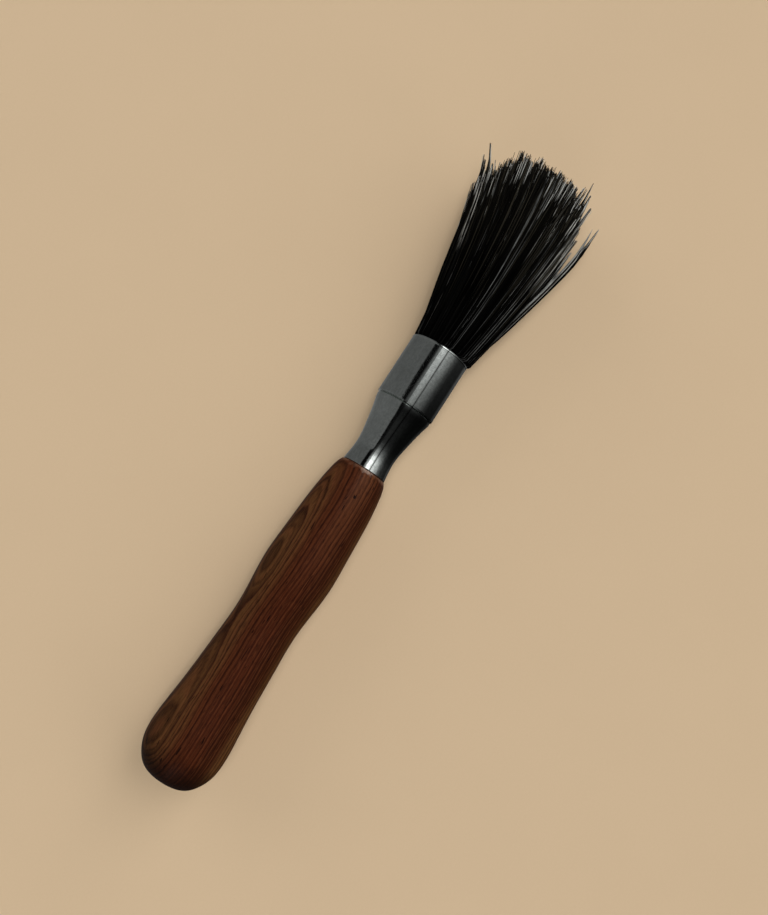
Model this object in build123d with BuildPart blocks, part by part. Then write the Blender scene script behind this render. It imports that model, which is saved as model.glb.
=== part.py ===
from build123d import *
import os

# A round bee brush that lies on a level surface.
# +X runs along the brush from the butt of the handle to the bristle tips, +Z is up.
# The origin is on the surface, under the middle of the brush.
# A "station" is a distance from the butt end, measured along the brush. All sizes are in millimetres.

# ---- driving dimensions ----
total_length = 287.0
grip_radius = 16.1  # the butt's widest place, which also sets how high the axis lies

butt_face_radius = 6.0
grip_station = 16.5
waist_station = 71.0
waist_radius = 12.95
swell_station = 91.5
swell_radius = 14.5
shoulder_station = 139.3
shoulder_radius = 9.55
shoulder_rounding = 0.45
tenon_radius = 7.85
tenon_end = 165.0
tenon_chamfer = 1.0

sheet = 0.6  # thickness of the neck's rolled steel
neck_start = 139.6
neck_mouth_radius = 9.35
neck_waist_station = 148.7
neck_waist_radius = 8.55
neck_bead_station = 168.6  # the neck is widest in a rounded bead, which the collar stands against
neck_bead_radius = 12.1
neck_bead_foot = 169.3
neck_end = 177.0
neck_edge_rounding = 0.2

collar_radius = 12.5
collar_wall = 0.85
collar_start = 169.5
collar_end = 195.7
collar_edge_rounding = 0.3
lip_wire_radius = 0.5  # the rolled edge at the collar's mouth
lip_proud = 0.12

seam_width = 0.16
seam_angle = 12.5  # degrees from straight up, towards -Y

roots_station = 181.0
clearance = 0.15
core_end = 214.0
core_root_radius = 5.0
core_tip_radius = 2.4
core_rounding = 1.5
twine_radius = 0.45
twine_turns = 5
twine_station = 186.0

brad_station = 145.0
brad_angle = 50.0  # degrees either side of straight down
brad_shank_radius = 0.55
brad_head_radius = 1.15
brad_head_height = 0.45
brad_head_taper = 30  # degrees
brad_point_radius = 4.5  # distance of the brad's point from the axis

# ---- places worked out from them ----
butt_x = -total_length / 2
axis_height = grip_radius
brush_axis = Axis((butt_x, 0, axis_height), (1, 0, 0))
# In this plane, x is the station and y is the distance from the axis.
profile_plane = Plane(origin=(butt_x, 0, axis_height), x_dir=(1, 0, 0), z_dir=(0, -1, 0))
seam_plane = profile_plane.rotated((seam_angle, 0, 0))
collar_bore = collar_radius - collar_wall
neck_end_radius = collar_bore - clearance / 2
root_radius = collar_bore - 2 * clearance
twine_pitch = 1.8 * twine_radius  # the turns are pressed into each other a little
binding_length = twine_turns * twine_pitch + clearance

os.makedirs("parts", exist_ok=True)


def cross_section(station, sideways, rise):
    """Plane across the brush, centred beside (+Y) and above (+Z) the axis by the given distances."""
    return Plane(
        origin=(butt_x + station, sideways, axis_height + rise),
        x_dir=(0, 1, 0),
        z_dir=(1, 0, 0),
    )


def tapered_lock(stations):
    """One lock of bristles, lofted through circles given as (station, sideways, rise, radius)."""
    with BuildPart() as lock:
        for station, sideways, rise, radius in stations:
            with BuildSketch(cross_section(station, sideways, rise)):
                Circle(radius)
        loft()
    return lock.part


def save(piece, name):
    piece.label = name
    export_step(piece, f"parts/{name}.step")


# ---- brads: two, on the underside, through the neck into the tenon ----
with BuildPart() as ferrule_brads:
    for side in (-1, 1):
        brad_plane = profile_plane.rotated((180 + side * brad_angle, 0, 0))
        outward = brad_plane.y_dir
        brad_base = Plane(
            origin=brush_axis.position + Vector(brad_station, 0, 0),
            x_dir=(1, 0, 0),
            z_dir=outward,
        )
        with BuildSketch(brad_base.offset(brad_point_radius)):
            Circle(brad_shank_radius)
        extrude(amount=neck_mouth_radius - brad_point_radius)
        with BuildSketch(brad_base.offset(neck_mouth_radius - brad_head_height / 2)):
            Circle(brad_head_radius)
        extrude(amount=brad_head_height, taper=brad_head_taper)
save(ferrule_brads.part, "ferrule_brads")

# ---- handle: one turning, with the tenon that the neck is pinned to ----
with BuildPart() as handle:
    with BuildSketch(profile_plane):
        with BuildLine():
            butt = Spline(
                (0, butt_face_radius),
                (4.6, 12.9),
                (grip_station, grip_radius),
                tangents=[(0.12, 1), (1, 0)],
            )
            grip = Spline(
                butt @ 1,
                (28.0, 15.35),
                (42.0, 14.2),
                (56.0, 13.45),
                (waist_station, waist_radius),
                (81.5, 13.75),
                (swell_station, swell_radius),
                (106.0, 13.95),
                (122.0, 12.95),
                (132.5, 11.65),
                (shoulder_station, shoulder_radius),
                tangents=[(1, 0), (1, -0.75)],
            )
            Polyline(
                grip @ 1,
                (shoulder_station, tenon_radius),
                (tenon_end, tenon_radius),
                (tenon_end, 0),
                (0, 0),
                butt @ 0,
            )
        make_face()
    revolve(axis=brush_axis)
    rims = handle.edges().filter_by(GeomType.CIRCLE).group_by(Axis.X)
    fillet(rims[1].sort_by(SortBy.RADIUS)[-1], shoulder_rounding)
    tenon_rim = handle.edges().filter_by(GeomType.CIRCLE).group_by(Axis.X)[-1]
    chamfer(tenon_rim, tenon_chamfer)
    add(ferrule_brads.part, mode=Mode.SUBTRACT)
save(handle.part, "handle")

# ---- neck ferrule: rolled sleeve, narrow over the tenon, flared to the bead, and plain inside the collar ----
neck_stations = [
    (neck_start, neck_mouth_radius),
    (neck_waist_station, neck_waist_radius),
    (155.5, 9.4),
    (161.0, 10.4),
    (165.0, 11.3),
    (neck_bead_station, neck_bead_radius),
]
neck_tangents = [(1, -0.12), (1, 0.12)]
with BuildPart() as neck_ferrule:
    with BuildSketch(profile_plane):
        with BuildLine():
            neck_outside = Spline(neck_stations, tangents=neck_tangents)
            neck_inside = Spline(
                [(station, radius - sheet) for station, radius in neck_stations],
                tangents=neck_tangents,
            )
            Line(neck_outside @ 0, neck_inside @ 0)
            Polyline(
                neck_outside @ 1,
                (neck_bead_foot, neck_end_radius),
                (neck_end, neck_end_radius),
                (neck_end, neck_end_radius - sheet),
                (neck_bead_foot, neck_end_radius - sheet),
                neck_inside @ 1,
            )
        make_face()
    revolve(axis=brush_axis)
    neck_rim = neck_ferrule.edges().filter_by(GeomType.CIRCLE).group_by(Axis.X)[0]
    fillet(neck_rim.sort_by(SortBy.RADIUS)[-1], neck_edge_rounding)
    with BuildSketch(seam_plane):
        with Locations(((neck_start + neck_end) / 2, collar_radius / 2)):
            Rectangle(neck_end - neck_start + 1, collar_radius)
    extrude(amount=seam_width / 2, both=True, mode=Mode.SUBTRACT)
    add(ferrule_brads.part, mode=Mode.SUBTRACT)
save(neck_ferrule.part, "neck_ferrule")

# ---- collar: rolled tube with a wired lip at the mouth ----
with BuildPart() as collar:
    with BuildSketch(profile_plane):
        with Locations(((collar_start + collar_end) / 2, collar_radius - collar_wall / 2)):
            Rectangle(collar_end - collar_start, collar_wall)
        with Locations((collar_end - lip_wire_radius, collar_radius + lip_proud - lip_wire_radius)):
            Circle(lip_wire_radius)
    revolve(axis=brush_axis)
    collar_rim = collar.edges().filter_by(GeomType.CIRCLE).group_by(Axis.X)[0]
    fillet(collar_rim.sort_by(SortBy.RADIUS)[-1], collar_edge_rounding)
    with BuildSketch(seam_plane):
        with Locations(((collar_start + collar_end) / 2, collar_radius)):
            Rectangle(collar_end - collar_start + 1, 2 * collar_radius)
    extrude(amount=seam_width / 2, both=True, mode=Mode.SUBTRACT)
save(collar.part, "collar")

# ---- setting resin: fills the wide end of the neck and the foot of the collar ----
resin_start = tenon_end + clearance
resin_foot_radius = 10.0
resin_taper_end = 171.0
resin_waist_radius = neck_end_radius - sheet - clearance
with BuildPart() as setting_resin:
    with BuildSketch(profile_plane):
        with BuildLine():
            Polyline(
                (resin_start, 0),
                (resin_start, resin_foot_radius),
                (resin_taper_end, resin_waist_radius),
                (neck_end + clearance, resin_waist_radius),
                (neck_end + clearance, root_radius),
                (roots_station, root_radius),
                (roots_station, 0),
                close=True,
            )
        make_face()
    revolve(axis=brush_axis)
save(setting_resin.part, "setting_resin")

# ---- core plug: keeps the bristles in a ring ----
with BuildPart() as core_plug:
    with BuildSketch(profile_plane):
        with BuildLine():
            Polyline(
                (roots_station, 0),
                (roots_station, core_root_radius),
                (core_end, core_tip_radius),
                (core_end, 0),
                close=True,
            )
        make_face()
    revolve(axis=brush_axis)
    core_tip = core_plug.edges().filter_by(GeomType.CIRCLE).group_by(Axis.X)[-1]
    fillet(core_tip, core_rounding)
save(core_plug.part, "core_plug")

# ---- root binding: twine wound side by side round the roots ----
with BuildPart() as root_binding:
    with BuildSketch(profile_plane):
        with Locations((twine_station, root_radius - twine_radius)):
            with GridLocations(twine_pitch, 1, twine_turns, 1):
                Circle(twine_radius)
    revolve(axis=brush_axis)
save(root_binding.part, "root_binding")

# ---- locks: pointed groups of bristles that stand away from the bundle ----
left_lock = tapered_lock(
    [
        (212.0, 12.6, 3.0, 1.0),
        (235.0, 18.2, 4.0, 2.4),
        (255.0, 21.2, 5.0, 3.0),
        (265.0, 22.8, 5.5, 2.9),
        (272.0, 25.0, 6.0, 1.9),
        (278.0, 28.6, 6.0, 0.35),
    ]
)
save(left_lock, "left_lock")

right_lock = tapered_lock(
    [
        (236.0, -12.4, 6.0, 1.2),
        (262.0, -14.8, 6.0, 3.4),
        (275.0, -15.6, 6.0, 2.8),
        (total_length, -15.0, 6.0, 0.35),
    ]
)
save(right_lock, "right_lock")

stub_lock = tapered_lock(
    [
        (228.0, -17.6, -2.0, 1.0),
        (244.0, -20.8, -2.0, 1.6),
        (260.5, -23.0, -2.0, 0.3),
    ]
)
save(stub_lock, "stub_lock")

stray_fork = tapered_lock([(258.0, -25.2, 1.0, 1.0), (272.0, -24.7, 1.0, 0.3)])
with BuildPart() as stray_lock:
    add(
        tapered_lock(
            [
                (214.0, -16.0, 1.0, 0.8),
                (227.0, -19.4, 1.0, 1.4),
                (243.0, -23.0, 1.0, 1.6),
                (257.0, -25.5, 1.0, 1.5),
                (265.0, -26.4, 1.0, 1.1),
                (274.0, -27.5, 1.0, 0.35),
            ]
        )
    )
    add(stray_fork)
save(stray_lock.part, "stray_lock")

# ---- bristle knot: gripped in the collar, flared beyond it, pressed flat where it lies ----
flare_stations = [
    (collar_end, 0, 0, root_radius),
    (205.0, 0, 0, 14.4),
    (216.0, 0, 0, 16.6),
    (240.0, 0.4, 0, 21.0),
    (262.0, 1.6, 0, 23.2),
    (272.0, 1.2, 0, 21.5),
    (279.0, 0, 0, 18.0),
    (283.5, -1.0, 0, 13.0),
    (285.5, -1.0, 0, 7.0),
]
with BuildPart() as bristle_knot:
    with BuildSketch(cross_section(roots_station, 0, 0)):
        Circle(root_radius)
    extrude(amount=collar_end - roots_station)
    for flare_station, sideways, rise, radius in flare_stations:
        with BuildSketch(cross_section(flare_station, sideways, rise)):
            Circle(radius)
    loft()
    split(bisect_by=Plane.XY, keep=Keep.TOP)
    with BuildSketch(profile_plane):
        with Locations((twine_station, root_radius)):
            Rectangle(binding_length, 4 * twine_radius)
    revolve(axis=brush_axis, mode=Mode.SUBTRACT)
    for other_piece in (core_plug.part, left_lock, right_lock, stub_lock, stray_lock.part):
        add(other_piece, mode=Mode.SUBTRACT)
save(bristle_knot.part, "bristle_knot")
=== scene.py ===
import math

import bpy
import numpy as np
from mathutils import Matrix, Vector


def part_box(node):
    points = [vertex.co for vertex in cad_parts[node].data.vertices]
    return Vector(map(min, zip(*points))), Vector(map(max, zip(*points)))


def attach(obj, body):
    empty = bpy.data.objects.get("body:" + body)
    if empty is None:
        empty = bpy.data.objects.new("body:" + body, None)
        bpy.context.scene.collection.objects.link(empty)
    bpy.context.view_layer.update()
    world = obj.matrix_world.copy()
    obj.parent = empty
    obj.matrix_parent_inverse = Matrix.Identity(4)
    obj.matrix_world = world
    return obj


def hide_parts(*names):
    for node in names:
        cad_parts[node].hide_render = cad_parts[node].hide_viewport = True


# A bee brush that lies on a pale sheet: turned hardwood handle, polished steel ferrule, and bristles made
# strand by strand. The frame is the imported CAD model's: metres, +X from the butt to the bristle tips, +Z up.

MM = 0.001
SEED = 20
STRAND_MAP = "OFBake"  # the strands keep this one map

# The columns of that map. A strand lies in one of them, from its root below to its tip above. The kinds of
# strand stand side by side in it: black, brown, pale at the tip, pale for the last part, grey and white. The
# grey
# and white strands are painted highlights: glints along single strands.
COLUMNS = 128
COLUMN_MARGIN = 0.1  # share of a column that stays free on each side
BROWN_FROM = 68 / COLUMNS
PALE_TIP_FROM = 86 / COLUMNS
PALE_END_FROM = 100 / COLUMNS
GREY_FROM = 112 / COLUMNS
WHITE_FROM = 124 / COLUMNS

SHEET_COLOUR = (0.539, 0.402, 0.258)  # the pale sheet as it is lit, and what lies beyond its edge
SEAM_TURN = 12.5  # where the ferrule's seam runs: degrees from straight up, towards -Y

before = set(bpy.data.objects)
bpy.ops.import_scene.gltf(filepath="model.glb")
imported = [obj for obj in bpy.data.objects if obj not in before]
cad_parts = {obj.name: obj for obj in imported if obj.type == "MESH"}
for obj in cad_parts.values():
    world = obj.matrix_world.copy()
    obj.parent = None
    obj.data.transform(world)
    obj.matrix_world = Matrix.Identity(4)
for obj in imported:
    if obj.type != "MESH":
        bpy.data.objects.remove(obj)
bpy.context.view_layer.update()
rng = np.random.default_rng(SEED)


# ---------------------------------------------------------------- places taken from the frame
collar_low, collar_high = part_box("collar")
axis_z = (collar_low.z + collar_high.z) / 2
mouth_x = collar_high.x
mouth_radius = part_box("setting_resin")[1].z - axis_z
roots_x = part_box("bristle_knot")[0].x
butt_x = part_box("handle")[0].x
shoulder_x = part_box("neck_ferrule")[0].x


# ---------------------------------------------------------------- camera
def add_camera():
    """Looks down on the brush from over the grip, turned so that the brush leans to the right."""
    lean = math.radians(32.88)
    above = 398 * MM
    stand_before_mouth, stand_aside = 91.2 * MM, -4 * MM
    aim_before_mouth, aim_aside = 47.65 * MM, -4.05 * MM
    stand = Vector((mouth_x - stand_before_mouth, stand_aside, axis_z + above))
    aim = Vector((mouth_x - aim_before_mouth, aim_aside, axis_z))
    back = (stand - aim).normalized()
    along = Vector((1, 0, 0))
    along = (along - back * along.dot(back)).normalized()
    across = back.cross(along)
    right = along * math.sin(lean) - across * math.cos(lean)
    up = along * math.cos(lean) + across * math.sin(lean)
    data = bpy.data.cameras.new("camera")
    data.lens = 40.0
    data.sensor_width = 36.0
    data.clip_start = 10 * MM
    camera = bpy.data.objects.new("camera", data)
    turn = Matrix((right, up, back)).transposed().to_4x4()
    camera.matrix_world = Matrix.Translation(stand) @ turn
    bpy.context.scene.collection.objects.link(camera)
    bpy.context.scene.camera = camera


# ---------------------------------------------------------------- node helpers
class Nodes:
    """A node tree being built. A value or a socket may be given for each input."""

    def __init__(self, tree):
        self.tree = tree

    def add(self, kind, inputs=None, **settings):
        node = self.tree.nodes.new(kind)
        for name, value in settings.items():
            setattr(node, name, value)
        for key, value in (inputs or {}).items():
            self.put(node.inputs[key], value)
        return node

    def put(self, socket, value):
        if isinstance(value, bpy.types.NodeSocket):
            self.tree.links.new(value, socket)
        else:
            socket.default_value = value

    def math(self, operation, *values):
        node = self.add("ShaderNodeMath", operation=operation)
        for socket, value in zip(node.inputs, values):
            self.put(socket, value)
        return node.outputs[0]

    def scaled(self, vector, scale):
        node = self.add("ShaderNodeVectorMath", operation="MULTIPLY")
        self.put(node.inputs[0], vector)
        self.put(node.inputs[1], scale)
        return node.outputs[0]

    def parts(self, vector):
        outputs = self.add("ShaderNodeSeparateXYZ", {"Vector": vector}).outputs
        return outputs["X"], outputs["Y"], outputs["Z"]

    def noise(self, vector, detail=2.0, roughness=0.5):
        inputs = {"Vector": vector, "Scale": 1.0, "Detail": detail, "Roughness": roughness, "Distortion": 0.0}
        return self.add("ShaderNodeTexNoise", inputs).outputs["Fac"]

    def ramp(self, value, stops):
        """stops: (position, colour or grey)."""
        node = self.add("ShaderNodeValToRGB", {"Fac": value})
        ramp = node.color_ramp
        while len(ramp.elements) < len(stops):
            ramp.elements.new(1.0)
        for element, (position, colour) in zip(ramp.elements, stops):
            element.position = position
            element.color = (*colour, 1) if isinstance(colour, tuple) else (colour, colour, colour, 1)
        return node.outputs["Color"]

    def mix(self, share, first, second):
        node = self.add("ShaderNodeMix", data_type="RGBA")
        self.put(node.inputs["Factor"], share)
        for key, value in (("A", first), ("B", second)):
            socket = next(s for s in node.inputs if s.name == key and s.type == "RGBA")
            self.put(socket, (*value, 1) if isinstance(value, tuple) else value)
        return next(s for s in node.outputs if s.type == "RGBA")

    def between(self, value, low, high, new_low=0.0, new_high=1.0):
        node = self.add("ShaderNodeMapRange", {"Value": value, "From Min": low, "From Max": high})
        self.put(node.inputs["To Min"], new_low)
        self.put(node.inputs["To Max"], new_high)
        return node.outputs["Result"]

    def bump(self, height, strength, distance):
        node = self.add("ShaderNodeBump", {"Height": height, "Strength": strength, "Distance": distance})
        return node.outputs["Normal"]


def material(name, **plain):
    """A new Principled material and its tree. plain sets sockets that have one value all over."""
    made = bpy.data.materials.new(name)
    made.use_nodes = True
    shader = made.node_tree.nodes["Principled BSDF"]
    for key, value in plain.items():
        shader.inputs[key.replace("_", " ")].default_value = value
    return made, Nodes(made.node_tree), shader


def row_position(nodes):
    """Place in the row's frame, in millimetres."""
    place = nodes.add("ShaderNodeTexCoord").outputs["Object"]
    return nodes.scaled(place, (1 / MM, 1 / MM, 1 / MM))


# ---------------------------------------------------------------- materials
def line_of_each(nodes, reach, apart, shape):
    """A line for every so many millimetres of reach, each with a strength of its own."""
    turns = nodes.math("DIVIDE", reach, apart)
    number = nodes.math("FLOOR", turns)
    chance = nodes.add("ShaderNodeTexWhiteNoise", {"W": number}, noise_dimensions="1D").outputs["Value"]
    line = nodes.ramp(nodes.math("FRACT", turns), shape)
    return nodes.math("MULTIPLY", line, nodes.between(chance, 0.0, 1.0, 0.4, 1.0))


def varnished_wood():
    """Dark open-pored hardwood under a thin varnish. The tree's heart lies well beyond its upper +Y side."""
    gloss = {"Coat_Weight": 0.05, "Coat_Roughness": 0.2, "Specular_IOR_Level": 0.05}
    made, nodes, shader = material("varnished_wood", **gloss)
    place = row_position(nodes)
    x, y, z = nodes.parts(place)
    heart_y = 40.0
    heart_z = axis_z / MM + 30.0
    off_y = nodes.math("SUBTRACT", y, heart_y)
    off_z = nodes.math("SUBTRACT", z, heart_z)
    squares = nodes.math("ADD", nodes.math("MULTIPLY", off_y, off_y), nodes.math("MULTIPLY", off_z, off_z))
    reach = nodes.math("SQRT", squares)
    slow = nodes.noise(nodes.scaled(place, (0.013, 0.045, 0.045)), detail=1.0)
    wave = nodes.noise(nodes.scaled(place, (0.05, 0.2, 0.2)), detail=2.0)
    reach = nodes.math("MULTIPLY_ADD", slow, 4.0, reach)
    reach = nodes.math("MULTIPLY_ADD", wave, 1.2, reach)

    # wide bands of colour, then lines of late wood: dark, thin and pale ones, each set at its own distance
    band = nodes.between(nodes.math("SUBTRACT", reach, 2.6), 34.0, 64.0)
    body = nodes.ramp(
        band,
        [
            (0.00, (0.108, 0.0465, 0.0150)),
            (0.14, (0.104, 0.0400, 0.0130)),
            (0.20, (0.080, 0.0215, 0.0076)),
            (0.36, (0.064, 0.0144, 0.0053)),
            (0.53, (0.070, 0.0164, 0.0059)),
            (0.57, (0.050, 0.0125, 0.0045)),
            (0.71, (0.045, 0.0118, 0.0040)),
            (0.76, (0.100, 0.0380, 0.0135)),
            (0.82, (0.155, 0.0690, 0.0230)),
            (1.00, (0.145, 0.0650, 0.0230)),
        ],
    )
    middle = nodes.ramp(band, [(0.28, 0.0), (0.38, 1.0), (0.52, 1.0), (0.62, 0.0)])
    warm = nodes.math("MULTIPLY", middle, nodes.between(x, -60.0, -8.0, 0.0, 0.5))
    body = nodes.mix(warm, body, (0.160, 0.057, 0.0195))
    late_shape = [(0.0, 0.5), (0.08, 0.0), (0.55, 0.0), (0.72, 0.7), (0.84, 1.0), (0.97, 1.0)]
    thin_shape = [(0.0, 0.2), (0.12, 0.0), (0.52, 0.0), (0.74, 1.0), (0.9, 1.0), (1.0, 0.2)]
    pale_shape = [(0.0, 0.0), (0.35, 0.0), (0.5, 1.0), (0.65, 1.0), (0.78, 0.0)]
    late = line_of_each(nodes, reach, 1.7, late_shape)
    thin = line_of_each(nodes, reach, 0.8, thin_shape)
    pale = line_of_each(nodes, reach, 1.13, pale_shape)

    # fibres and open pores, which break the lines into dashes
    streak = nodes.noise(nodes.scaled(place, (0.03, 1.1, 1.1)), detail=4.0, roughness=0.7)
    dash = nodes.noise(nodes.scaled(place, (1.0, 0.8, 0.8)), detail=1.0)
    fleck = nodes.noise(nodes.scaled(place, (0.25, 1.6, 1.6)), detail=2.0)
    pore = nodes.noise(nodes.scaled(place, (0.3, 2.2, 2.2)), detail=1.0)
    more_in_lines = nodes.math("MULTIPLY_ADD", late, 0.5, 0.5)
    pores = nodes.math("MULTIPLY", nodes.between(pore, 0.55, 0.63), more_in_lines)
    big_pore = nodes.noise(nodes.scaled(place, (0.16, 1.2, 1.2)), detail=0.0)
    big_pores = nodes.between(big_pore, 0.79, 0.81)
    dash_low = nodes.between(band, 0.12, 0.2, 0.7, 0.4)
    thin = nodes.math("MULTIPLY", thin, nodes.between(dash, 0.35, 0.62, dash_low, 1.0))
    body = nodes.mix(nodes.between(streak, 0.42, 0.62, 0.0, 0.3), body, (0.032, 0.0088, 0.0036))
    body = nodes.mix(nodes.between(fleck, 0.58, 0.68, 0.0, 0.28), body, (0.14, 0.044, 0.016))
    body = nodes.mix(nodes.math("MULTIPLY", pale, 0.5), body, (0.150, 0.0480, 0.0190))
    thin_share = nodes.math("MULTIPLY", thin, nodes.between(band, 0.12, 0.2, 0.92, 0.56))
    body = nodes.mix(thin_share, body, (0.024, 0.0062, 0.0024))
    body = nodes.mix(nodes.math("MULTIPLY", late, 0.92), body, (0.018, 0.0046, 0.0018))
    body = nodes.mix(nodes.math("MULTIPLY", pores, 0.6), body, (0.011, 0.0034, 0.0016))
    body = nodes.mix(nodes.math("MULTIPLY", big_pores, 0.9), body, (0.004, 0.0016, 0.001))

    # painted shade at the butt end, painted highlights on the shoulder's rounded edge, and painted shade on
    # the wood that the ferrule hides, seen through its seam
    # painted shade: darker towards the butt end, where it turns away from the light
    butt_shade_noise = nodes.noise(nodes.scaled(place, (0.12, 0.12, 0.12)), detail=3.0)
    from_butt = nodes.math("MULTIPLY_ADD", butt_shade_noise, 7.0, nodes.math("SUBTRACT", x, butt_x / MM))
    body = nodes.mix(nodes.between(from_butt, 18.0, 8.0, 0.0, 0.78), body, (0.006, 0.0028, 0.0022))
    # painted highlight: paler close to the neck, where the rounded shoulder catches the light
    shoulder_glint_noise = nodes.noise(nodes.scaled(place, (0.3, 0.35, 0.35)), detail=3.0)
    to_neck = nodes.math("MULTIPLY_ADD", shoulder_glint_noise, 5.0, nodes.math("SUBTRACT", shoulder_x / MM, x))
    body = nodes.mix(nodes.between(to_neck, 4.2, 2.6, 0.0, 0.6), body, (0.2, 0.1, 0.06))
    # painted highlight: a pale patch on the middle of the shoulder's edge, where the studio light is mirrored
    shoulder_reflection = nodes.math("MULTIPLY", nodes.between(y, 1.2, 0.4), nodes.between(y, -4.4, -3.6))
    shoulder_reflection = nodes.math("MULTIPLY", shoulder_reflection, nodes.between(to_neck, 4.6, 3.4, 0.0, 0.65))
    shoulder_reflection = nodes.math("MULTIPLY", shoulder_reflection, nodes.between(streak, 0.38, 0.52, 0.35, 1.0))
    body = nodes.mix(shoulder_reflection, body, (0.42, 0.31, 0.25))
    # painted shade: the wood under the ferrule is near black, so the seam shows dark
    ferrule_shade = nodes.between(x, shoulder_x / MM + 0.3, shoulder_x / MM + 0.8)
    body = nodes.mix(ferrule_shade, body, (0.007, 0.0045, 0.0035))
    nodes.put(shader.inputs["Base Color"], body)
    nodes.put(shader.inputs["Roughness"], nodes.between(streak, 0.3, 0.7, 0.42, 0.58))
    relief = nodes.math("MULTIPLY_ADD", late, -0.4, nodes.math("MULTIPLY", streak, 0.5))
    relief = nodes.math("MULTIPLY_ADD", thin, -0.3, relief)
    relief = nodes.math("MULTIPLY_ADD", pores, -0.6, relief)
    relief = nodes.math("MULTIPLY_ADD", big_pores, -1.5, relief)
    nodes.put(shader.inputs["Normal"], nodes.bump(relief, 0.4, 0.05 * MM))
    return made


def rolled_steel(name, tint, smoothest, roughest):
    """Polished steel with lines along the brush, a fine mottle, smears and scratches, painted shade beside its
    seam, and on the collar a highlight painted darker towards its foot.
    """
    made, nodes, shader = material(name, Metallic=1.0)
    place = row_position(nodes)
    x, y, z = nodes.parts(place)
    lines = nodes.noise(nodes.scaled(place, (0.12, 5.0, 5.0)), detail=3.0, roughness=0.6)
    mottle = nodes.noise(nodes.scaled(place, (0.8, 1.0, 1.0)), detail=3.0, roughness=0.7)
    smear = nodes.noise(nodes.scaled(place, (0.09, 0.2, 0.2)), detail=3.0)
    scratch = nodes.noise(nodes.scaled(place, (0.8, 11.0, 11.0)), detail=0.0)
    scratches = nodes.between(scratch, 0.74, 0.8)
    dimming = 0.62  # how much of its brightness a worn place keeps; taken twice, it also sets the painted shade at the collar's foot
    worn = tuple(dimming * c for c in tint)
    shaded_steel_tint = tuple(dimming * c for c in worn)
    colour = nodes.mix(nodes.between(smear, 0.42, 0.68, 0.0, 0.45), tint, worn)
    colour = nodes.mix(nodes.between(lines, 0.5, 0.8, 0.0, 0.5), colour, worn)

    # distance sideways from the plane through the axis and the seam, to the +Y side
    turn = math.radians(SEAM_TURN)
    up = nodes.math("SUBTRACT", z, axis_z / MM)
    beside = nodes.math("MULTIPLY_ADD", up, math.sin(turn), nodes.math("MULTIPLY", y, math.cos(turn)))
    less_on_flank = nodes.between(beside, 2.0, 6.0, 0.8, 0.35)
    mottled = nodes.math("MULTIPLY", nodes.between(mottle, 0.42, 0.6), less_on_flank)
    colour = nodes.mix(mottled, colour, worn)

    # painted shade: the collar's highlight is darker towards its foot, except on the +Y flank
    on_collar = nodes.math("GREATER_THAN", x, collar_low.x / MM)
    collar_foot_shade = nodes.math("MULTIPLY", on_collar, nodes.between(beside, 4.5, 3.0))
    towards_foot = nodes.between(x, collar_high.x / MM - 4.0, collar_low.x / MM, 0.1, 0.62)
    collar_foot_shade = nodes.math("MULTIPLY", collar_foot_shade, towards_foot)
    colour = nodes.mix(collar_foot_shade, colour, shaded_steel_tint)
    beside = nodes.math("ABSOLUTE", beside)
    # painted shade: dark close beside the seam on its upper side, where the sheet's edges roll in
    seam_shade = nodes.math("MULTIPLY", nodes.between(beside, 0.55, 0.2), nodes.math("GREATER_THAN", up, 0.0))
    seam_shade = nodes.math("MULTIPLY", seam_shade, nodes.between(lines, 0.3, 0.6, 0.3, 0.6))
    colour = nodes.mix(seam_shade, colour, (0.05, 0.05, 0.047))
    nodes.put(shader.inputs["Base Color"], colour)
    rough = nodes.math("MULTIPLY_ADD", smear, 0.6, nodes.math("MULTIPLY", lines, 0.4))
    rough = nodes.math("MULTIPLY_ADD", scratches, 0.3, rough)
    nodes.put(shader.inputs["Roughness"], nodes.between(rough, 0.35, 0.65, smoothest, roughest))
    relief = nodes.math("MULTIPLY_ADD", lines, 0.3, nodes.math("MULTIPLY", mottle, 0.9))
    relief = nodes.math("MULTIPLY_ADD", scratches, -0.15, relief)
    nodes.put(shader.inputs["Normal"], nodes.bump(relief, 0.3, 0.03 * MM))
    return made


def softwood():
    """Tarred softwood: straight growth lines under a dark dry coat."""
    made, nodes, shader = material("softwood", Specular_IOR_Level=0.3)
    place = row_position(nodes)
    _, _, z = nodes.parts(place)
    bend = nodes.noise(nodes.scaled(place, (0.03, 0.2, 0.2)), detail=2.0)
    grain = nodes.math("FRACT", nodes.math("MULTIPLY_ADD", bend, 3.0, nodes.math("MULTIPLY", z, 0.7)))
    fibre = nodes.noise(nodes.scaled(place, (0.3, 7.0, 7.0)), detail=2.0)
    late = nodes.ramp(grain, [(0.0, 0.2), (0.2, 0.0), (0.7, 0.1), (0.95, 1.0), (1.0, 0.3)])
    colour = nodes.mix(nodes.math("MULTIPLY", late, 0.7), (0.04, 0.026, 0.016), (0.02, 0.012, 0.008))
    colour = nodes.mix(nodes.between(fibre, 0.4, 0.75, 0.0, 0.5), colour, (0.015, 0.009, 0.006))
    nodes.put(shader.inputs["Base Color"], colour)
    nodes.put(shader.inputs["Roughness"], nodes.between(fibre, 0.3, 0.7, 0.6, 0.8))
    nodes.put(shader.inputs["Normal"], nodes.bump(fibre, 0.4, 0.05 * MM))
    return made


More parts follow.
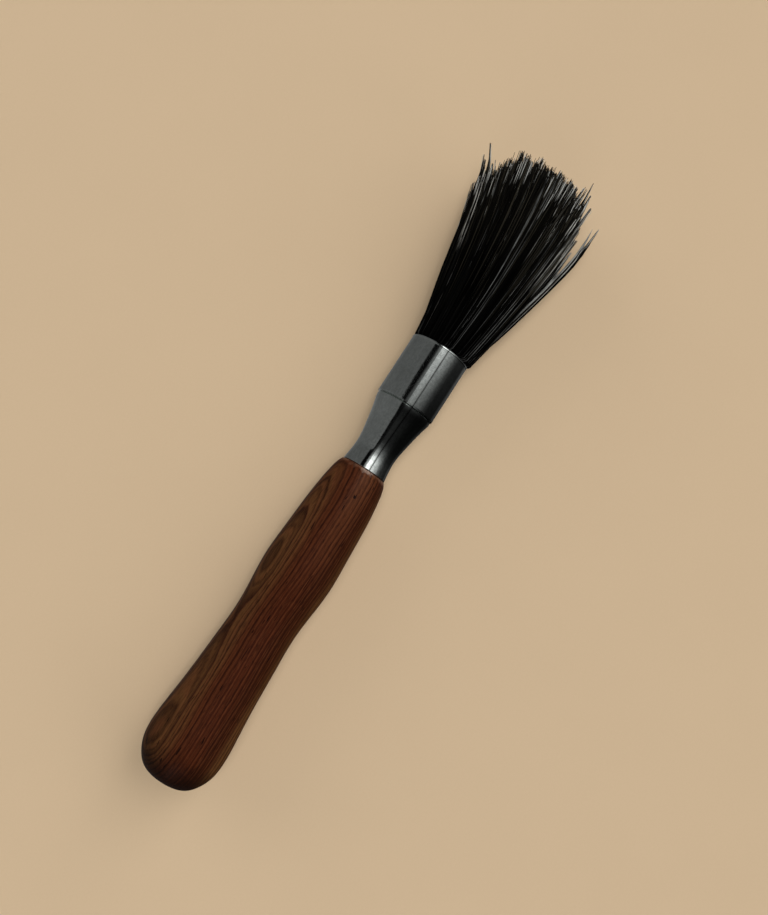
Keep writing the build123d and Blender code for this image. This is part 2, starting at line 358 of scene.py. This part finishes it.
def cast_resin():
    """Dark brown setting pitch with small bubbles and a wavy skin."""
    made, nodes, shader = material("cast_resin", Specular_IOR_Level=0.5, Coat_Weight=0.3, Coat_Roughness=0.1)
    place = row_position(nodes)
    cloud = nodes.noise(nodes.scaled(place, (0.3, 0.3, 0.3)), detail=3.0)
    fine = nodes.scaled(place, (1.1, 1.1, 1.1))
    cells = nodes.add("ShaderNodeTexVoronoi", {"Vector": fine}).outputs["Distance"]
    bubble = nodes.between(cells, 0.22, 0.12)
    colour = nodes.mix(nodes.between(cloud, 0.35, 0.65), (0.030, 0.016, 0.009), (0.014, 0.008, 0.006))
    colour = nodes.mix(nodes.math("MULTIPLY", bubble, 0.5), colour, (0.06, 0.035, 0.02))
    nodes.put(shader.inputs["Base Color"], colour)
    nodes.put(shader.inputs["Roughness"], nodes.between(cloud, 0.3, 0.7, 0.18, 0.35))
    relief = nodes.math("MULTIPLY_ADD", bubble, -0.6, cloud)
    nodes.put(shader.inputs["Normal"], nodes.bump(relief, 0.5, 0.15 * MM))
    return made


def waxed_twine():
    """Twisted tarred twine: slanted plies on every turn, darker between them."""
    made, nodes, shader = material("waxed_twine", Specular_IOR_Level=0.4)
    place = row_position(nodes)
    x, y, z = nodes.parts(place)
    around = nodes.math("ARCTAN2", y, nodes.math("SUBTRACT", z, axis_z / MM))
    twist = nodes.math("MULTIPLY_ADD", around, 40.0, nodes.math("MULTIPLY", x, 5.0))
    ply = nodes.math("MULTIPLY_ADD", nodes.math("SINE", twist), 0.5, 0.5)
    fuzz = nodes.noise(nodes.scaled(place, (4.0, 4.0, 4.0)), detail=3.0)
    colour = nodes.mix(ply, (0.012, 0.008, 0.006), (0.06, 0.043, 0.028))
    colour = nodes.mix(nodes.between(fuzz, 0.45, 0.7, 0.0, 0.5), colour, (0.035, 0.025, 0.017))
    nodes.put(shader.inputs["Base Color"], colour)
    nodes.put(shader.inputs["Roughness"], nodes.between(fuzz, 0.3, 0.7, 0.45, 0.7))
    relief = nodes.math("MULTIPLY_ADD", fuzz, 0.4, ply)
    nodes.put(shader.inputs["Normal"], nodes.bump(relief, 0.6, 0.12 * MM))
    return made


def bristle_fibre():
    """Dark stiff fibre, coloured by its column in the strands' map and by the way from root to tip."""
    made, nodes, shader = material("bristle_fibre", Specular_IOR_Level=0.015)
    spot = nodes.add("ShaderNodeUVMap", uv_map=STRAND_MAP).outputs["UV"]
    across, along, _ = nodes.parts(spot)
    tone = nodes.noise(nodes.scaled(spot, (97.0, 1.3, 0)), detail=0.0)
    blotch = nodes.noise(nodes.scaled(spot, (61.0, 9.0, 0)), detail=2.0)
    black = nodes.mix(nodes.between(along, 0.55, 0.95), (0.0008, 0.0007, 0.0007), (0.0060, 0.0054, 0.0043))
    colour = nodes.mix(nodes.between(tone, 0.55, 0.8), black, (0.009, 0.0088, 0.008))

    def kind(first, after=2.0):
        """1 on the strands whose column lies between first and after, otherwise 0."""
        past_first = nodes.math("GREATER_THAN", across, first)
        return nodes.math("MULTIPLY", past_first, nodes.math("LESS_THAN", across, after))

    brown = nodes.math("MULTIPLY", kind(BROWN_FROM, PALE_TIP_FROM), nodes.between(along, 0.3, 0.8))
    colour = nodes.mix(brown, colour, (0.033, 0.029, 0.021))
    pale_tip = nodes.math("MULTIPLY", kind(PALE_TIP_FROM, PALE_END_FROM), nodes.between(along, 0.9, 0.95))
    colour = nodes.mix(pale_tip, colour, (0.58, 0.58, 0.54))
    pale_end = nodes.math("MULTIPLY", kind(PALE_END_FROM, GREY_FROM), nodes.between(along, 0.62, 0.82))
    pale_end = nodes.math("MULTIPLY", pale_end, nodes.between(blotch, 0.3, 0.5))
    colour = nodes.mix(pale_end, colour, (0.45, 0.44, 0.40))
    # painted highlights: the grey and white strands stand in for glints, in blotches along their length
    grey = nodes.math("MULTIPLY", kind(GREY_FROM, WHITE_FROM), nodes.between(blotch, 0.3, 0.62))
    grey_tone = nodes.mix(nodes.between(tone, 0.3, 0.7), (0.06, 0.06, 0.057), (0.22, 0.224, 0.214))
    grey_tone = nodes.mix(nodes.between(along, 0.25, 0.6, 0.65, 0.0), grey_tone, (0.008, 0.008, 0.0075))
    colour = nodes.mix(grey, colour, grey_tone)
    white = nodes.math("MULTIPLY", kind(WHITE_FROM), nodes.between(blotch, 0.25, 0.5))
    white_tone = nodes.mix(nodes.between(along, 0.3, 0.68), (0.07, 0.07, 0.067), (0.46, 0.46, 0.43))
    colour = nodes.mix(white, colour, white_tone)
    nodes.put(shader.inputs["Base Color"], colour)
    nodes.put(shader.inputs["Roughness"], nodes.between(blotch, 0.3, 0.7, 0.34, 0.5))
    return made


# ---------------------------------------------------------------- strands
ROOT_RADIUS = 0.16 * MM
TIP_RADIUS = 0.08 * MM
SIDES = 4  # of a strand's cross-section
LIP_STEP = 1.3  # how far past the mouth the strands have stepped out over the lip, in millimetres


def strand_mesh(name, paths, radii, columns):
    """One mesh of closed tapered tubes.

    paths is (strands, points, 3), radii is (strands, points) and columns is (strands).
    """
    strands, points, _ = paths.shape
    tangent = np.gradient(paths, axis=1)
    tangent /= np.linalg.norm(tangent, axis=2, keepdims=True)
    first = np.cross(tangent, (0.0, 0.0, 1.0))
    first /= np.linalg.norm(first, axis=2, keepdims=True)
    second = np.cross(tangent, first)
    turn = np.arange(SIDES) * 2 * math.pi / SIDES
    ring = first[:, :, None] * np.cos(turn)[:, None] + second[:, :, None] * np.sin(turn)[:, None]
    spots = paths[:, :, None] + ring * radii[:, :, None, None]
    vertex = np.arange(strands * points * SIDES).reshape(strands, points, SIDES)
    here, after = vertex, np.roll(vertex, -1, axis=2)
    sheath = np.stack([here[:, :-1], after[:, :-1], after[:, 1:], here[:, 1:]], axis=-1)
    root_cap, tip_cap = vertex[:, 0, ::-1], vertex[:, -1]
    loops = np.concatenate([sheath.reshape(-1), root_cap.reshape(-1), tip_cap.reshape(-1)])
    quads = strands * (points - 1) * SIDES
    sizes = np.concatenate([np.full(quads, 4), np.full(2 * strands, SIDES)])

    # the side strips share the middle of the strand's column, and the caps lie at its ends
    used = 1 - 2 * COLUMN_MARGIN
    left = (columns[:, None, None] + COLUMN_MARGIN + used * np.arange(SIDES) / SIDES) / COLUMNS
    left = np.broadcast_to(left, (strands, points - 1, SIDES))
    right = left + used / SIDES / COLUMNS
    up = np.linspace(0, 1, points)
    low = np.broadcast_to(up[None, :-1, None], left.shape)
    high = np.broadcast_to(up[None, 1:, None], left.shape)
    corners = ((left, low), (right, low), (right, high), (left, high))
    sheath_map = np.stack([np.stack(corner, -1) for corner in corners], axis=3)
    at_root, at_tip = 0.002, 0.998
    cap_across = np.repeat((columns + 0.5) / COLUMNS, SIDES)
    root_map = np.stack([cap_across, np.full(strands * SIDES, at_root)], -1)
    tip_map = np.stack([cap_across, np.full(strands * SIDES, at_tip)], -1)

    mesh = bpy.data.meshes.new(name)
    mesh.vertices.add(spots.size // 3)
    mesh.vertices.foreach_set("co", spots.reshape(-1).astype(np.float32))
    mesh.loops.add(len(loops))
    mesh.loops.foreach_set("vertex_index", loops.astype(np.int32))
    mesh.polygons.add(len(sizes))
    mesh.polygons.foreach_set("loop_start", (np.cumsum(sizes) - sizes).astype(np.int32))
    mesh.polygons.foreach_set("use_smooth", np.ones(len(sizes), bool))
    mesh.update(calc_edges=True)
    layer = mesh.uv_layers.new(name=STRAND_MAP)
    whole_map = np.concatenate([sheath_map.reshape(-1, 2), root_map, tip_map])
    layer.data.foreach_set("uv", whole_map.reshape(-1).astype(np.float32))
    mesh.validate()
    return mesh


def strand_piece(name, paths, radii, columns, node, finish):
    """Adds strands as one piece that takes the place of a node's plain solid."""
    piece = bpy.data.objects.new(name, strand_mesh(name, paths, radii, columns))
    bpy.context.scene.collection.objects.link(piece)
    piece.data.materials.append(finish)
    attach(piece, "root")
    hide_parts(node)


def smooth(value):
    """Eases from 0 to 1 as the value goes from 0 to 1."""
    value = np.clip(value, 0, 1)
    return value * value * (3 - 2 * value)


def edges_past_mouth(reach):
    """Distances of the bundle's +Y, -Y and upper sides from the axis: a step over the lip, then a curve."""
    past = np.maximum(reach, 0) / MM
    over_lip = smooth(past / LIP_STEP)
    sides = ((0.95, 0.10, 0.0017), (1.75, 0.205, -0.0010), (1.2, 0.165, -0.0006))
    return [
        mouth_radius + MM * (step * over_lip + slope * past + bend * past**2)
        for step, slope, bend in sides
    ]


def strand_points(to_mouth, length, points):
    """Distances of a strand's points from its root, close together where it bends out over the lip."""
    bend = to_mouth + np.array([-to_mouth, 0, LIP_STEP * MM, 5 * MM])
    rest = np.linspace(0, 1, points - 3)[1:]
    rest = bend[-1] + (length[:, None] - bend[-1]) * rest
    return np.concatenate([np.broadcast_to(bend, (len(length), 4)), rest], axis=1)


def rest_on_floor(paths, radii):
    """Bends what would pass through the surface along it instead, in a thin layer."""
    give = 1.4 * MM
    gap = 0.3 * MM
    untouched = 12  # from this height up, counted in give, a strand stays where it is
    height = (paths[..., 2] - radii - gap) / give
    raised = np.where(height > untouched, height, np.log1p(np.exp(np.minimum(height, untouched))))
    paths[..., 2] = raised * give + radii + gap
    return paths


def taper(strands, points, scale=1.0):
    """Radii along each strand: even, then narrowing towards the tip."""
    narrowing = 0.13  # share of its points over which a strand narrows
    way = np.linspace(0, 1, points)
    thick = ROOT_RADIUS * scale * rng.uniform(0.8, 1.2, strands)
    shape = 1 - smooth((way - (1 - narrowing)) / narrowing)
    return TIP_RADIUS + (thick[:, None] - TIP_RADIUS) * shape[None, :]


def pick_columns(strands, grey, white, pale_tip=0.14, pale_end=0.0, brown=0.2):
    """A column for each strand, by the share of each kind."""
    firsts = np.array([0, BROWN_FROM, PALE_TIP_FROM, PALE_END_FROM, GREY_FROM, WHITE_FROM, 1]) * COLUMNS
    firsts = np.round(firsts).astype(int)
    shares = np.stack([np.broadcast_to(share, strands) for share in (brown, pale_tip, pale_end, grey, white)])
    limits = np.cumsum(np.concatenate([1 - shares.sum(0)[None], shares]), axis=0)
    kind = (rng.uniform(0, 1, strands)[None] > limits[:-1]).sum(0)
    return rng.integers(firsts[kind], firsts[kind + 1])


def on_disc(share, angle):
    """Points on a disc, each at a share of its radius."""
    return share[:, None] * np.stack([np.cos(angle), np.sin(angle)], 1)


def nearest(spots, tufts):
    """For each spot, which tuft is nearest."""
    return np.argmin(((spots[:, None] - tufts[None]) ** 2).sum(2), axis=1)


# where the bundle ends, from the -Y side to the +Y side: (sideways, distance past the mouth), in millimetres
BUNDLE_END = (
    (-24.5, 57.0),
    (-22.5, 62.0),
    (-20.0, 71.0),
    (-17.0, 77.0),
    (-12.5, 80.0),
    (-9.0, 85.5),
    (12.3, 85.0),
    (16.0, 82.0),
    (19.0, 78.0),
    (20.0, 70.0),
    (24.0, 66.0),
    (27.5, 62.5),
)


def knot_paths(share, angle, points, tufts):
    """Bristles of the bundle. share is how far out each one stands, from 0 in the middle to 1 at the rim."""
    gathering = 18  # over so many millimetres before their ends, the strands of a tuft draw together
    dome_height = 8.0
    broken_share = 0.08
    strands = len(share)
    tuft_share = np.sqrt(rng.uniform(0, 1, tufts))
    tuft_angle = rng.uniform(0, 2 * math.pi, tufts)
    tuft_long = rng.normal(0, 1.5 * MM, tufts)
    tuft = on_disc(tuft_share, tuft_angle)
    spot = on_disc(share, angle)
    near = nearest(spot, tuft)
    line_y, line_end = np.array(BUNDLE_END).T
    tuft_end = np.full(tufts, 80.0)
    for _ in range(8):  # where each tuft meets the end line
        left, right, _ = edges_past_mouth(tuft_end * MM)
        tuft_y = ((left - right) / 2 + tuft[:, 0] * (left + right) / 2) / MM
        tuft_end = (tuft_end + np.interp(tuft_y, line_y, line_end)) / 2
    dome = dome_height * tuft[near, 1] ** 2
    short = rng.exponential(0.7, strands)
    broken = rng.uniform(0, 1, strands) < broken_share
    short += np.where(broken, rng.uniform(3, 30, strands), 0)
    end = mouth_x + MM * (tuft_end[near] - dome - short) + tuft_long[near]
    start = roots_x + 2 * MM
    far = strand_points(mouth_x - start, end - start, points)
    way = far / far[:, -1:]
    x = start + far
    reach = x - mouth_x
    before_tip = (end[:, None] - x) / MM
    pull = rng.uniform(0.6, 0.95, strands)[:, None] * smooth(1 - before_tip / gathering)
    place = spot[:, None] + (tuft[near] - spot)[:, None] * pull[..., None]
    left, right, rise = edges_past_mouth(reach)
    y = (left - right) / 2 + place[..., 0] * (left + right) / 2
    z = axis_z + place[..., 1] * rise
    loose = smooth((reach - 2 * MM) / (50 * MM)) * rng.gamma(1.4, 0.2 * MM, strands)[:, None]
    for axis_values in (y, z):
        turns = rng.uniform(0.5, 1.5, strands)[:, None]
        phase = rng.uniform(0, 2 * math.pi, strands)[:, None]
        axis_values += loose * np.sin(phase + turns * 2 * math.pi * way)
        axis_values += rng.normal(0, 0.006, strands)[:, None] * np.maximum(reach, 0)
    return np.stack([x, y, z], -1)


def add_knot(finish):
    """The bundle, in a plain inner piece and four outer ones, each under the limit on faces."""
    inner, points = 1500, 9
    share = np.sqrt(rng.uniform(0.0, 0.42, inner))
    angle = rng.uniform(0, 2 * math.pi, inner)
    paths = knot_paths(share, angle, points, tufts=160)
    radii = taper(inner, points, scale=1.2)
    columns = pick_columns(inner, grey=0.02, white=0.0)
    strand_piece("inner_bristles", rest_on_floor(paths, radii), radii, columns, "bristle_knot", finish)

    outer, points = 4400, 14
    share = np.sqrt(rng.uniform(0.36, 1.0, outer))
    angle = rng.uniform(0, 2 * math.pi, outer)
    paths = knot_paths(share, angle, points, tufts=520)
    radii = taper(outer, points)
    skin = share > 0.9
    flank = skin & (np.abs(np.cos(angle)) > 0.85)
    # painted highlights: more grey strands on the bundle's outer skin, where glints show
    grey = np.where(skin, 0.07, 0.035)
    pale_end = np.where(flank, 0.3, 0.01)
    columns = pick_columns(outer, grey, white=0.01, pale_end=pale_end, brown=0.18)
    # the grey and white strands, painted highlights, are made thicker
    light = columns >= round(GREY_FROM * COLUMNS)
    radii *= np.where(light, 1.25, 1.0)[:, None]
    paths = rest_on_floor(paths, radii)
    quarters = (
        ("right", True, True),
        ("left", False, True),
        ("lower_left", False, False),
        ("lower_right", True, False),
    )
    for quarter, right, upper in quarters:
        mine = ((np.cos(angle) < 0) == right) & ((np.sin(angle) > 0) == upper)
        name = f"{quarter}_bristles"
        strand_piece(name, paths[mine], radii[mine], columns[mine], "bristle_knot", finish)


def lock_paths(route, strands, points, spread, ragged, flat, tufts):
    """Strands of one lock along a smooth route of a few points, in tufts of different lengths.

    flat is the lock's height over its width.
    """
    drawn_in = 0.82  # how far out the roots stand, against where the lock leaves the mouth
    gathering = 16 * MM  # over this length before their ends, the strands of a tuft draw together
    route = np.array(route)
    start = np.array([[roots_x + 2 * MM, *route[0, 1:]]])
    knots = np.concatenate([start, route])
    knots[0, 1:] = (0, axis_z) + (route[0, 1:] - (0, axis_z)) * drawn_in
    at = np.concatenate([[0], np.cumsum(np.linalg.norm(np.diff(knots, axis=0), axis=1))])
    angle = rng.uniform(0, 2 * math.pi, strands + tufts)
    spot = on_disc(np.sqrt(rng.uniform(0, 1, strands + tufts)), angle)
    spot, tuft = spot[:strands], spot[strands:]
    tuft[0] = 0
    near = nearest(spot, tuft)
    tuft_short = rng.uniform(0.25, 1.0, tufts) * ragged
    tuft_short[0] = 0
    long = at[-1] * (1 - tuft_short[near] - np.abs(rng.normal(0, 0.01, strands)))
    far = strand_points(at[1], long, points)
    way = far / far[:, -1:]
    pull = 0.85 * smooth(1 - (long[:, None] - far) / gathering)
    place = spot[:, None] + (tuft[near] - spot)[:, None] * pull[..., None]
    centre = np.stack([smooth_curve(far, at, knots[:, axis]) for axis in range(3)], -1)
    width = spread * np.interp(far / at[-1], (0, 0.12, 0.4, 0.85, 1.0), (0.3, 0.4, 0.85, 1.0, 0.7))
    centre[..., 1] += place[..., 0] * width
    centre[..., 2] += place[..., 1] * width * flat
    sway = rng.gamma(1.5, 0.1 * MM, strands)[:, None] * smooth((way - 0.2) / 0.8)
    centre[..., 1] += sway * np.sin(rng.uniform(0, 6.3, strands)[:, None] + 7 * way)
    centre[..., 2] += sway * np.cos(rng.uniform(0, 6.3, strands)[:, None] + 6 * way)
    return stay_in_mouth(centre)


def stay_in_mouth(paths):
    """Draws strands in towards the axis where they would pass through the lip."""
    clear = 0.3 * MM
    widening = 0.8
    off = paths[..., 1:] - (0, axis_z)
    room = mouth_radius - clear + widening * np.maximum(paths[..., 0] - mouth_x, 0)
    paths[..., 1:] = (0, axis_z) + off * np.minimum(1, room / np.linalg.norm(off, axis=-1))[..., None]
    return paths


def smooth_curve(where, at, values):
    """A curve through the values with matching slopes (cubic Hermite)."""
    slope = np.gradient(values, at)
    span = np.clip(np.searchsorted(at, where, side="right") - 1, 0, len(at) - 2)
    wide = at[span + 1] - at[span]
    t = (where - at[span]) / wide
    first = (2 * t**3 - 3 * t**2 + 1) * values[span] + (t**3 - 2 * t**2 + t) * wide * slope[span]
    last = (-2 * t**3 + 3 * t**2) * values[span + 1] + (t**3 - t**2) * wide * slope[span + 1]
    return first + last


def add_lock(name, node, beyond, finish, strands, spread, tufts, ragged=0.15, flat=1.0, thick=1.0, **kinds):
    """One lock. kinds gives the shares of the kinds of strand, and spread is half its width in millimetres.

    beyond is (distance past the mouth, sideways, above the axis) in millimetres, from the mouth to the tip.
    """
    points = 16
    route = [(mouth_x + x * MM, y * MM, axis_z + z * MM) for x, y, z in beyond]
    paths = lock_paths(route, strands, points, spread * MM, ragged, flat, tufts)
    radii = taper(strands, points, thick)
    columns = pick_columns(strands, **kinds)
    strand_piece(name, rest_on_floor(paths, radii), radii, columns, node, finish)


def add_locks(finish):
    # the grey and white shares are strands of painted highlight: glints along single strands
    full = {"strands": 200, "tufts": 13, "grey": 0.04, "white": 0.03, "pale_tip": 0.2, "pale_end": 0.08}
    thin = {"tufts": 4, "ragged": 0.1, "flat": 0.5, "thick": 1.3}
    left = [(0, 9.8, 3), (40, 16.6, 4), (60, 20.2, 5), (72, 23.4, 6), (82, 28.7, 6)]
    add_lock("left_lock_bristles", "left_lock", left, finish, spread=3.6, ragged=0.16, **full)
    right = [(0, -8.6, 6), (40, -12.8, 6), (66, -15.0, 6), (79, -15.6, 6), (91, -15.0, 6)]
    add_lock("right_lock_bristles", "right_lock", right, finish, spread=3.7, ragged=0.09, **full)
    spur = [(0, -9.2, 4), (40, -15.0, 4), (66, -18.6, 3), (83, -19.6, 3)]
    spur_look = {"strands": 70, "spread": 1.9, "tufts": 6, "grey": 0.06, "white": 0.05, "pale_end": 0.3}
    add_lock("right_spur_bristles", "right_lock", spur, finish, **spur_look)
    stub = [(0, -10.4, -1), (30, -17.9, -2), (48, -21.1, -2), (65, -22.8, -2)]
    stub_look = {"strands": 20, "spread": 1.6, "grey": 0.1, "white": 0.4}
    add_lock("stub_lock_bristles", "stub_lock", stub, finish, **stub_look, **thin)
    stray = [(0, -10.8, 1), (12, -14.7, 1), (30.4, -19.3, 1)]
    stray += [(48.7, -23.2, 1), (63.3, -25.8, 1), (78.2, -27.2, 1)]
    stray_look = {"strands": 30, "spread": 1.3, "grey": 0.0, "white": 0.1}
    add_lock("stray_lock_bristles", "stray_lock", stray, finish, **stray_look, **thin)
    fork = [(0, -10.4, 2), (12, -14.2, 2), (30.4, -18.7, 2)]
    fork += [(48.7, -22.7, 2), (63.3, -25.0, 2), (76.4, -24.9, 2)]
    fork_look = {"strands": 10, "spread": 1.2, "grey": 0.05, "white": 0.4}
    fork_shape = {"tufts": 3, "ragged": 0.08, "flat": 0.3, "thick": 1.25}
    add_lock("stray_fork_bristles", "stray_lock", fork, finish, **fork_look, **fork_shape)


# ---------------------------------------------------------------- setting
def add_floor():
    """A plain pale sheet, large enough to reach the horizon of a low view."""
    made, nodes, shader = material("pale_sheet", Roughness=0.9, Specular_IOR_Level=0.1)
    place = row_position(nodes)
    mottle = nodes.noise(nodes.scaled(place, (0.02, 0.02, 0.02)), detail=4.0)
    grain = nodes.noise(nodes.scaled(place, (1.1, 1.1, 1.1)), detail=2.0)
    tone = nodes.math("MULTIPLY_ADD", mottle, 0.5, nodes.math("MULTIPLY", grain, 0.5))
    colour = nodes.mix(tone, (0.675, 0.503, 0.322), (0.725, 0.541, 0.348))
    nodes.put(shader.inputs["Base Color"], colour)
    half = 6.0
    corners = [(-half, -half, 0), (half, -half, 0), (half, half, 0), (-half, half, 0)]
    mesh = bpy.data.meshes.new("sheet")
    mesh.from_pydata(corners, [], [(0, 1, 2, 3)])
    floor = bpy.data.objects.new("sheet", mesh)
    floor.data.materials.append(made)
    floor.visible_glossy = False
    bpy.context.scene.collection.objects.link(floor)


# the panel's light, by the direction's turn about the brush (degrees from straight up, towards +Y)
PANEL_AROUND = (
    (-180, 0.15),
    (-140, 0.11),
    (-126, 0.018),
    (-82, 0.025),
    (-66, 0.09),
    (-53, 0.26),
    (-38, 0.45),
    (-22, 0.64),
    (-8, 0.92),
    (-1, 0.7),
    (5, 0.22),
    (13, 0.0),
)

# the panel's light, by how far the direction leans along the brush (its X, from -1 to 1)
PANEL_ALONG = (
    (-0.8, 0.5),
    (-0.5, 0.004),
    (-0.3, 0.005),
    (-0.15, 0.013),
    (0.0, 0.06),
    (0.1, 0.14),
    (0.17, 0.21),
    (0.23, 0.385),
    (0.33, 1.0),
    (0.5, 1.5),
)


def add_studio():
    """What the steel mirrors: a grey wall to the +Y side, a dark gap, and a bright panel above the tips."""
    world = bpy.data.worlds.new("studio")
    bpy.context.scene.world = world
    world.use_nodes = True
    nodes = Nodes(world.node_tree)
    lean, side, up = nodes.parts(nodes.add("ShaderNodeTexCoord").outputs["Generated"])
    turn = nodes.math("MULTIPLY", nodes.math("ARCTAN2", side, up), 180 / math.pi)
    around_stops = [((degrees + 180) / 360, level) for degrees, level in PANEL_AROUND]
    along_stops = [((x + 1) / 2, level) for x, level in PANEL_ALONG]
    panel = nodes.ramp(nodes.between(turn, -180.0, 180.0), around_stops)
    ahead = nodes.ramp(nodes.between(lean, -1.0, 1.0), along_stops)
    panel = nodes.math("MULTIPLY", nodes.math("MULTIPLY", panel, ahead), 2.0)
    wall_edge = nodes.between(lean, 0.12, 0.19, 16.0, 29.0)
    past_edge = nodes.math("SUBTRACT", turn, wall_edge)
    wall_level = nodes.between(lean, 0.1, 0.2, 0.118, 0.094)
    wall = nodes.math("MULTIPLY", nodes.between(past_edge, 0.0, 2.0), wall_level)
    wall = nodes.math("MULTIPLY", wall, nodes.between(turn, 130.0, 175.0, 1.0, 1.7))
    dim = 0.0022  # the light that comes from everywhere else
    around = nodes.math("ADD", nodes.math("ADD", wall, panel), dim)
    seen = nodes.add("ShaderNodeLightPath").outputs["Is Camera Ray"]
    background = world.node_tree.nodes["Background"]
    nodes.put(background.inputs["Color"], nodes.mix(seen, around, SHEET_COLOUR))


def add_sun(name, away, strength, spread):
    """Soft even light from one side. It isn't mirrored, so the steel shows the studio alone."""
    data = bpy.data.lights.new(name, "SUN")
    data.energy = strength
    data.angle = math.radians(spread)
    sun = bpy.data.objects.new(name, data)
    sun.rotation_mode = "QUATERNION"
    sun.rotation_quaternion = Vector(away).to_track_quat("Z", "Y")
    sun.visible_glossy = False
    bpy.context.scene.collection.objects.link(sun)


def add_lights():
    add_sun("key", (-0.06, 0.0, 1.0), strength=1.24, spread=25)
    add_sun("left_fill", (0.2, 1.0, 0.35), strength=0.58, spread=50)
    add_sun("right_fill", (0.2, -1.0, 0.35), strength=0.48, spread=50)


# ---------------------------------------------------------------- make everything
def dress(names, finish):
    """Gives CAD nodes a material."""
    for name in names:
        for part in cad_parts[name].material_slots:
            part.material = finish


bpy.context.scene.view_settings.view_transform = "Standard"
add_camera()
fibre = bristle_fibre()
add_knot(fibre)
add_locks(fibre)
dress(["handle"], varnished_wood())
ferrule_steel = rolled_steel("ferrule_steel", tint=(0.785, 0.83, 0.795), smoothest=0.05, roughest=0.13)
dress(["neck_ferrule", "collar"], ferrule_steel)
dress(["ferrule_brads"], rolled_steel("brad_steel", tint=(0.5, 0.5, 0.49), smoothest=0.25, roughest=0.45))
dress(["core_plug"], softwood())
dress(["setting_resin"], cast_resin())
dress(["root_binding"], waxed_twine())
add_floor()
add_studio()
add_lights()
